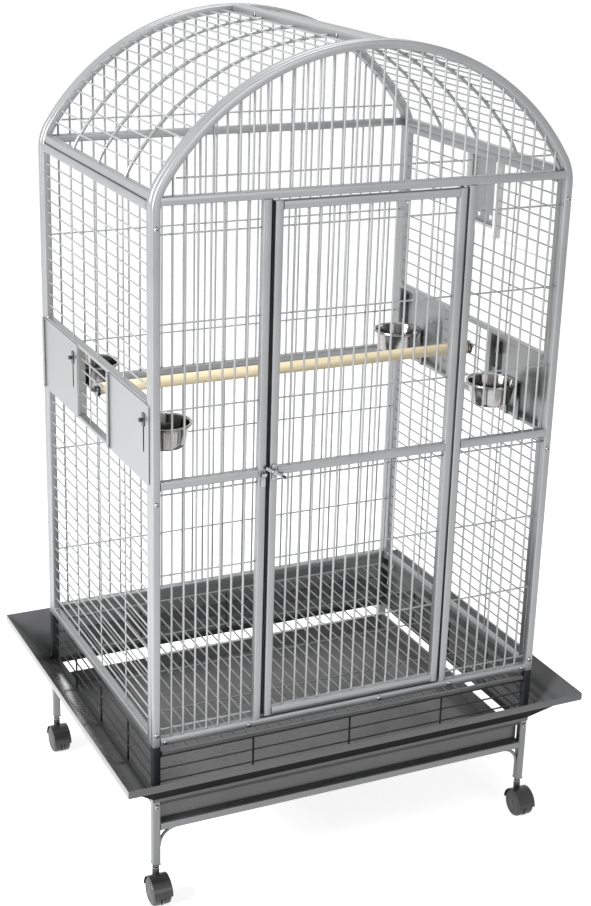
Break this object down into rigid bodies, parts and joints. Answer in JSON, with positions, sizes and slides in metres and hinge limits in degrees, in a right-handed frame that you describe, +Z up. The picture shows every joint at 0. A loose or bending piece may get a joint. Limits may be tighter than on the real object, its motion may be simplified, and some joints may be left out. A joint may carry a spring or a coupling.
{
  "type": "dome top parrot cage",
  "caption": "Tall wire parrot cage with an arched dome, swinging front door, outside feeder doors, nest door, seed skirts, pull-out tray and grate, on a castered stand.",
  "frame": {"origin": "on the floor under the middle of the cage, at the bottom centre of the bounding box", "axes": "+Z up, -Y towards the front door, +X to the right as seen from the front"},
  "size_m": [1.202, 0.966, 1.974],
  "materials": {
    "platinum_paint": "light grey powder coat with a faint hammered texture, semi-gloss",
    "dark_paint": "dark grey powder coat, semi-gloss",
    "zinc_steel": "bright zinc plate",
    "stainless": "polished stainless steel",
    "perch_wood": "pale unfinished hardwood",
    "caster_plastic": "black moulded nylon",
    "wheel_rubber": "black moulded wheel with a satin tread"
  },
  "bodies": {
    "cage": {"front_frame": "platinum_paint", "front_bars_left": "platinum_paint", "front_bars_right": "platinum_paint", "front_bars_arch": "platinum_paint", "latch_keeper": "zinc_steel", "hinge_pins": "zinc_steel", "back_frame": "platinum_paint", "back_bars": "platinum_paint", "left_side_frame": "platinum_paint", "left_side_bars": "platinum_paint", "right_side_frame": "platinum_paint", "right_side_bars": "platinum_paint", "left_dome_frame": "platinum_paint", "left_dome_bars": "platinum_paint", "right_dome_frame": "platinum_paint", "right_dome_bars": "platinum_paint", "frame_bolts": "zinc_steel", "feeder_catches": "platinum_paint", "bowl_ring_left_front": "zinc_steel", "bowl_ring_left_back": "zinc_steel", "bowl_ring_right_front": "zinc_steel", "bowl_ring_right_back": "zinc_steel", "perch": "perch_wood", "perch_bolts": "zinc_steel", "base_posts": "dark_paint", "base_fences": "dark_paint", "skirt_front": "dark_paint", "skirt_back": "dark_paint", "skirt_left": "dark_paint", "skirt_right": "dark_paint", "stand_frame": "platinum_paint", "caster_sockets": "caster_plastic"},
    "front_door": {"door_frame": "platinum_paint", "door_bars": "platinum_paint", "door_latch_plate": "zinc_steel"},
    "door_latch": {"door_latch": "zinc_steel"},
    "nest_door": {"nest_door": "platinum_paint"},
    "nest_latch": {"nest_latch": "dark_paint"},
    "grate": {"grate": "platinum_paint"},
    "tray": {"tray": "dark_paint"},
    "feeder_door_left_front": {"feeder_door_left_front": "platinum_paint"},
    "feeder_latch_left_front": {"feeder_latch_left_front": "dark_paint"},
    "bowl_left_front": {"bowl_left_front": "stainless"},
    "caster_fork_left_front": {"caster_fork_left_front": "caster_plastic"},
    "caster_wheels_left_front": {"caster_wheels_left_front": "wheel_rubber"},
    "feeder_door_left_back": {"feeder_door_left_back": "platinum_paint"},
    "feeder_latch_left_back": {"feeder_latch_left_back": "dark_paint"},
    "bowl_left_back": {"bowl_left_back": "stainless"},
    "caster_fork_left_back": {"caster_fork_left_back": "caster_plastic"},
    "caster_wheels_left_back": {"caster_wheels_left_back": "wheel_rubber"},
    "feeder_door_right_front": {"feeder_door_right_front": "platinum_paint"},
    "feeder_latch_right_front": {"feeder_latch_right_front": "dark_paint"},
    "bowl_right_front": {"bowl_right_front": "stainless"},
    "caster_fork_right_front": {"caster_fork_right_front": "caster_plastic"},
    "caster_wheels_right_front": {"caster_wheels_right_front": "wheel_rubber"},
    "feeder_door_right_back": {"feeder_door_right_back": "platinum_paint"},
    "feeder_latch_right_back": {"feeder_latch_right_back": "dark_paint"},
    "bowl_right_back": {"bowl_right_back": "stainless"},
    "caster_fork_right_back": {"caster_fork_right_back": "caster_plastic"},
    "caster_wheels_right_back": {"caster_wheels_right_back": "wheel_rubber"}
  },
  "joints": [
    {"name": "door_hinge", "type": "hinge", "parent": "cage", "child": "front_door", "pos_m": [0.2225, -0.3805, 1.042], "axis": [0, 0, 1], "range_deg": [0, 105]},
    {"name": "door_latch_turn", "type": "hinge", "parent": "front_door", "child": "door_latch", "pos_m": [-0.2225, -0.396, 1.0455], "axis": [0, -1, 0], "range_deg": [0, 30]},
    {"name": "feeder_hinge_left_front", "type": "hinge", "parent": "cage", "child": "feeder_door_left_front", "pos_m": [-0.5124, -0.115, 1.135], "axis": [0, 0, -1], "range_deg": [0, 165]},
    {"name": "feeder_latch_slide_left_front", "type": "slide", "parent": "feeder_door_left_front", "child": "feeder_latch_left_front", "axis": [0, 0, -1], "range_m": [0, 0.059]},
    {"name": "bowl_lift_left_front", "type": "slide", "parent": "cage", "child": "bowl_left_front", "axis": [0, 0, 1], "range_m": [0, 0.08]},
    {"name": "caster_swivel_left_front", "type": "hinge", "parent": "cage", "child": "caster_fork_left_front", "pos_m": [-0.4985, -0.3805, 0.06], "axis": [0, 0, 1], "continuous": true},
    {"name": "caster_roll_left_front", "type": "hinge", "parent": "caster_fork_left_front", "child": "caster_wheels_left_front", "pos_m": [-0.4985, -0.3985, 0.035], "axis": [1, 0, 0], "continuous": true},
    {"name": "feeder_hinge_left_back", "type": "hinge", "parent": "cage", "child": "feeder_door_left_back", "pos_m": [-0.5124, 0.366, 1.135], "axis": [0, 0, -1], "range_deg": [0, 165]},
    {"name": "feeder_latch_slide_left_back", "type": "slide", "parent": "feeder_door_left_back", "child": "feeder_latch_left_back", "axis": [0, 0, -1], "range_m": [0, 0.059]},
    {"name": "bowl_lift_left_back", "type": "slide", "parent": "cage", "child": "bowl_left_back", "axis": [0, 0, 1], "range_m": [0, 0.08]},
    {"name": "caster_swivel_left_back", "type": "hinge", "parent": "cage", "child": "caster_fork_left_back", "pos_m": [-0.4985, 0.3805, 0.06], "axis": [0, 0, 1], "continuous": true},
    {"name": "caster_roll_left_back", "type": "hinge", "parent": "caster_fork_left_back", "child": "caster_wheels_left_back", "pos_m": [-0.4985, 0.3625, 0.035], "axis": [1, 0, 0], "continuous": true},
    {"name": "feeder_hinge_right_front", "type": "hinge", "parent": "cage", "child": "feeder_door_right_front", "pos_m": [0.5124, -0.366, 1.135], "axis": [0, 0, -1], "range_deg": [0, 165]},
    {"name": "feeder_latch_slide_right_front", "type": "slide", "parent": "feeder_door_right_front", "child": "feeder_latch_right_front", "axis": [0, 0, -1], "range_m": [0, 0.059]},
    {"name": "bowl_lift_right_front", "type": "slide", "parent": "cage", "child": "bowl_right_front", "axis": [0, 0, 1], "range_m": [0, 0.08]},
    {"name": "caster_swivel_right_front", "type": "hinge", "parent": "cage", "child": "caster_fork_right_front", "pos_m": [0.4985, -0.3805, 0.06], "axis": [0, 0, 1], "continuous": true},
    {"name": "caster_roll_right_front", "type": "hinge", "parent": "caster_fork_right_front", "child": "caster_wheels_right_front", "pos_m": [0.4985, -0.3985, 0.035], "axis": [1, 0, 0], "continuous": true},
    {"name": "feeder_hinge_right_back", "type": "hinge", "parent": "cage", "child": "feeder_door_right_back", "pos_m": [0.5124, 0.115, 1.135], "axis": [0, 0, -1], "range_deg": [0, 165]},
    {"name": "feeder_latch_slide_right_back", "type": "slide", "parent": "feeder_door_right_back", "child": "feeder_latch_right_back", "axis": [0, 0, -1], "range_m": [0, 0.059]},
    {"name": "bowl_lift_right_back", "type": "slide", "parent": "cage", "child": "bowl_right_back", "axis": [0, 0, 1], "range_m": [0, 0.08]},
    {"name": "caster_swivel_right_back", "type": "hinge", "parent": "cage", "child": "caster_fork_right_back", "pos_m": [0.4985, 0.3805, 0.06], "axis": [0, 0, 1], "continuous": true},
    {"name": "caster_roll_right_back", "type": "hinge", "parent": "caster_fork_right_back", "child": "caster_wheels_right_back", "pos_m": [0.4985, 0.3625, 0.035], "axis": [1, 0, 0], "continuous": true},
    {"name": "nest_hinge", "type": "hinge", "parent": "cage", "child": "nest_door", "pos_m": [0.512, -0.022, 1.6495], "axis": [0, -1, 0], "range_deg": [0, 110]},
    {"name": "nest_latch_turn", "type": "hinge", "parent": "cage", "child": "nest_latch", "pos_m": [0.5, -0.022, 1.461], "axis": [1, 0, 0], "range_deg": [0, 90]},
    {"name": "grate_slide", "type": "slide", "parent": "cage", "child": "grate", "axis": [0, -1, 0], "range_m": [0, 0.6]},
    {"name": "tray_slide", "type": "slide", "parent": "cage", "child": "tray", "axis": [0, -1, 0], "range_m": [0, 0.65]}
  ]
}
